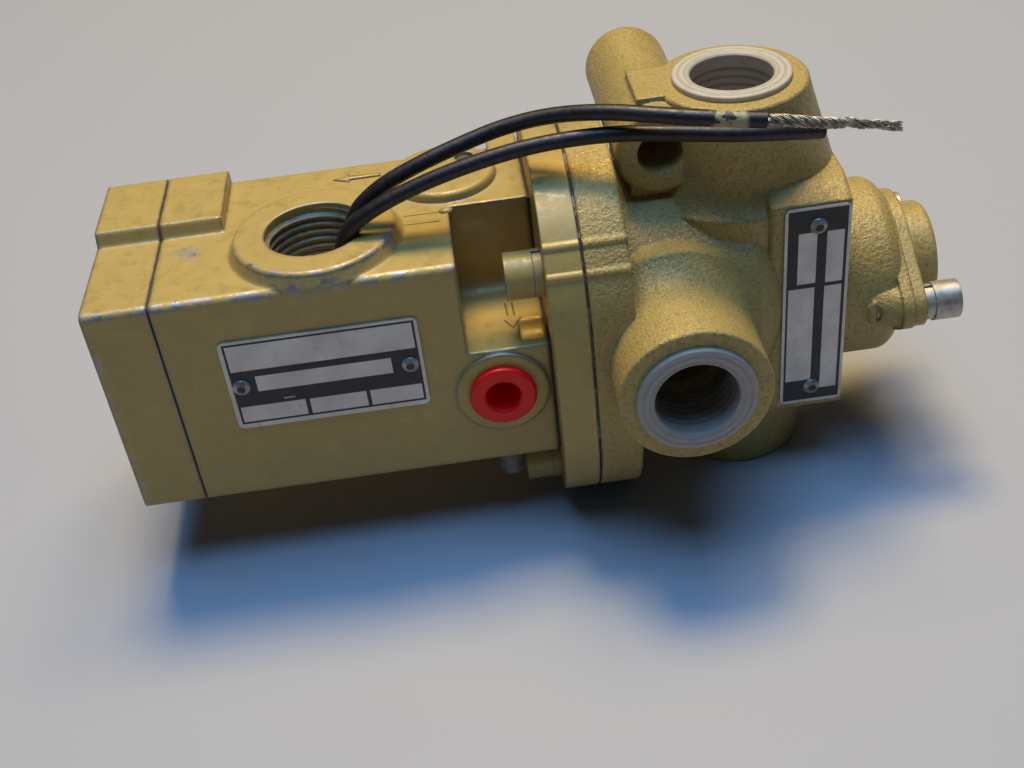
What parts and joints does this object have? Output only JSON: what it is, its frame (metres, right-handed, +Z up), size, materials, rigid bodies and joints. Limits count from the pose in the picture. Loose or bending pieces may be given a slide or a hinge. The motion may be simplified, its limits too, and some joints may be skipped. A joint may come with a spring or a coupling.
{
  "type": "pneumatic directional control valve",
  "caption": "Solenoid-pilot poppet valve with a box-shaped pilot housing, a cast body with round port bosses, and two free lead wires.",
  "frame": {"origin": "centre of the bottom port's mouth, on the plane that the valve rests on", "axes": "+X along the valve axis from the pilot end cap to the end retainer, +Y towards the back (the front port and the nameplates face -Y), +Z up through the top port"},
  "size_m": [0.1818, 0.084, 0.0956],
  "materials": {
    "cast_housing": "satin",
    "cast_body": "satin",
    "painted_plate": "satin",
    "gasket": "matte",
    "screw_steel": "satin",
    "bobbin_plastic": "satin",
    "winding": "matte",
    "yoke_steel": "satin",
    "core_steel": "satin",
    "seal_rubber": "matte",
    "spring_steel": "polished",
    "seat_brass": "satin",
    "button_steel": "satin",
    "vent_steel": "satin",
    "piston_metal": "satin",
    "stem_steel": "polished",
    "white_plastic": "satin",
    "red_plastic": "gloss",
    "nameplate": "satin",
    "rivet_steel": "satin",
    "wire_jacket": "satin",
    "bare_copper": "satin"
  },
  "bodies": {
    "valve": {"end_cap": "cast_housing", "pilot_housing": "cast_housing", "adapter_plate": "cast_housing", "valve_body": "cast_body", "end_retainer": "painted_plate", "cap_gasket": "gasket", "pilot_gasket": "gasket", "body_gasket": "gasket", "cap_screws": "screw_steel", "housing_screws": "screw_steel", "flange_screws": "screw_steel", "flange_washers": "screw_steel", "retainer_screws": "screw_steel", "retainer_washers": "screw_steel", "coil_bobbin": "bobbin_plastic", "coil_winding": "winding", "coil_yoke": "yoke_steel", "core_tube": "core_steel", "pole_piece": "core_steel", "plunger_spring": "spring_steel", "pilot_seat": "seat_brass", "override_spring": "spring_steel", "vent_plug": "vent_steel", "stem_guide": "seat_brass", "return_spring": "spring_steel", "retainer_seal": "seal_rubber", "front_port_protector": "white_plastic", "top_port_protector": "white_plastic", "pilot_port_plug": "red_plastic", "left_nameplate": "nameplate", "right_nameplate": "nameplate", "nameplate_rivets": "rivet_steel", "lead_wire_a": "wire_jacket", "lead_wire_b": "wire_jacket", "wire_strands": "bare_copper"},
    "stem_set": {"main_piston": "piston_metal", "piston_seal": "seal_rubber", "valve_stem": "stem_steel", "exhaust_poppet": "seal_rubber", "inlet_poppet": "seal_rubber"},
    "plunger_set": {"solenoid_plunger": "core_steel", "plunger_seal": "seal_rubber"},
    "button": {"override_button": "button_steel"}
  },
  "joints": [
    {"name": "stem_slide", "type": "slide", "parent": "valve", "child": "stem_set", "axis": [1, 0, 0], "range_m": [0, 0.0045], "stiffness_N_per_m": 3000, "springref_m": -0.006, "deforming": ["return_spring"]},
    {"name": "plunger_slide", "type": "slide", "parent": "valve", "child": "plunger_set", "axis": [-1, 0, 0], "range_m": [0, 0.002], "stiffness_N_per_m": 500, "springref_m": -0.003, "deforming": ["plunger_spring"]},
    {"name": "button_slide", "type": "slide", "parent": "valve", "child": "button", "axis": [0, 0, -1], "range_m": [0, 0.0024], "stiffness_N_per_m": 400, "springref_m": -0.002, "deforming": ["override_spring"]}
  ]
}
